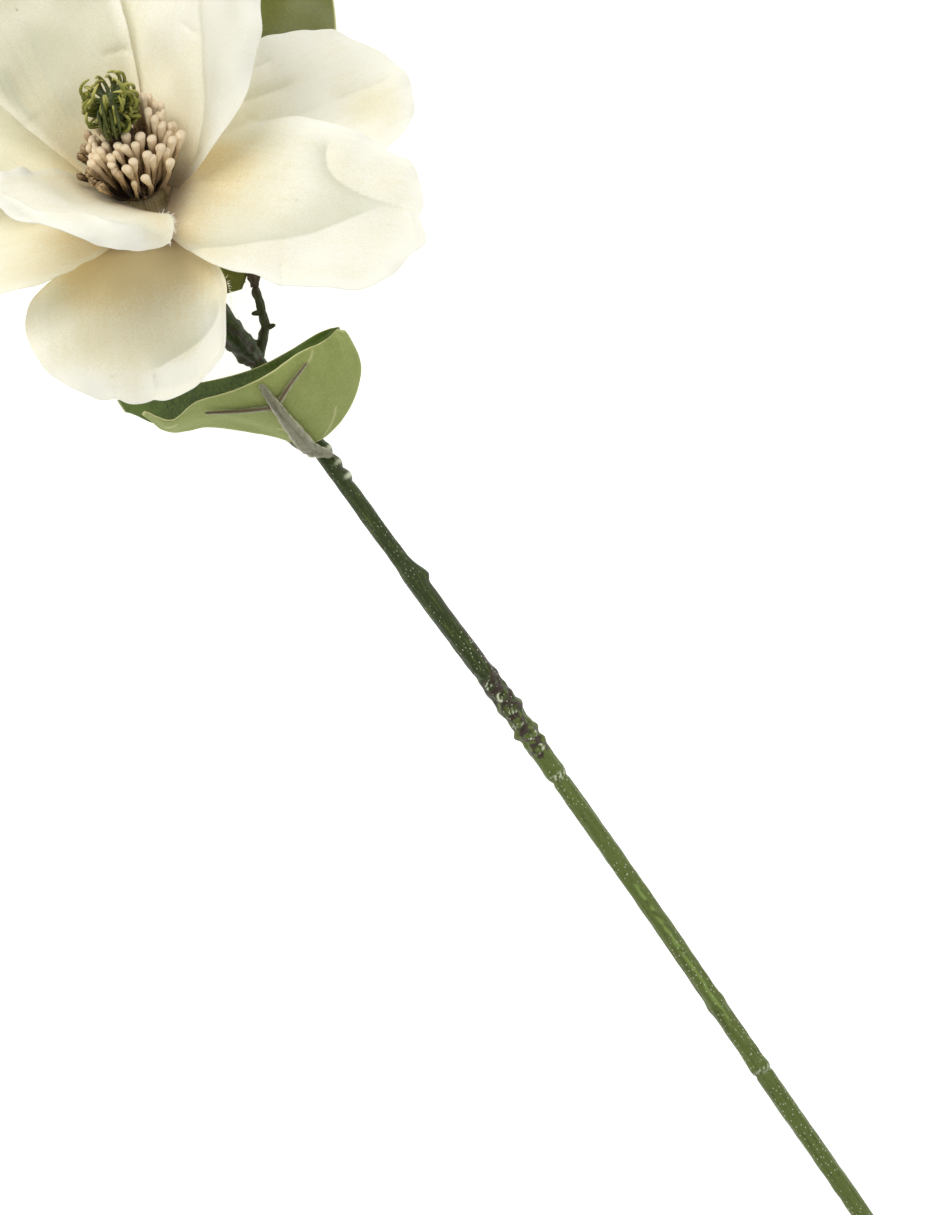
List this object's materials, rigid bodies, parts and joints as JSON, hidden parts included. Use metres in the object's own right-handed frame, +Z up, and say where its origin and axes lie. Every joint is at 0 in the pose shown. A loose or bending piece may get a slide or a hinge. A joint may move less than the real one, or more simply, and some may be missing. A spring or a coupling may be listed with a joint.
{
  "type": "magnolia flower",
  "caption": "Artificial magnolia stem lying down: one open cream bloom with curled pistil and club stamens, a knobby forked stem and leaves.",
  "frame": {"origin": "middle of the object's footprint, on the surface that it lies on", "axes": "+Z up off that surface, +Y along the stem from its cut end towards the bloom, +X to the right of the bloom"},
  "size_m": [0.2017, 0.5724, 0.1391],
  "materials": {
    "petal_fabric": "matt cream fabric with fine veins",
    "leaf_fabric": "coated green fabric, slight sheen",
    "rib_plastic": "grey-beige moulded plastic",
    "stem_plastic": "moulded green plastic with pale specks",
    "bud_plastic": "reddish brown moulded plastic",
    "receptacle_plastic": "olive moulded plastic",
    "stamen_plastic": "beige heads on brown filaments",
    "pistil_plastic": "olive-green soft plastic, light gloss"
  },
  "bodies": {
    "root": {"stem": "stem_plastic", "twig_bud": "bud_plastic", "receptacle": "receptacle_plastic", "stamens": "stamen_plastic", "pistil": "pistil_plastic", "petal_inner_top_left": "petal_fabric", "petal_inner_top_right": "petal_fabric", "petal_inner_left": "petal_fabric", "petal_inner_front": "petal_fabric", "petal_outer_right": "petal_fabric", "petal_outer_upper_right": "petal_fabric", "petal_outer_bottom": "petal_fabric", "petal_outer_left": "petal_fabric", "petal_outer_back": "petal_fabric", "leaf_front": "leaf_fabric", "leaf_front_rib": "rib_plastic", "leaf_behind": "leaf_fabric", "leaf_behind_rib": "rib_plastic", "leaf_top": "leaf_fabric", "leaf_top_rib": "rib_plastic", "leaf_small": "leaf_fabric", "leaf_small_rib": "rib_plastic"}
  },
  "joints": []
}
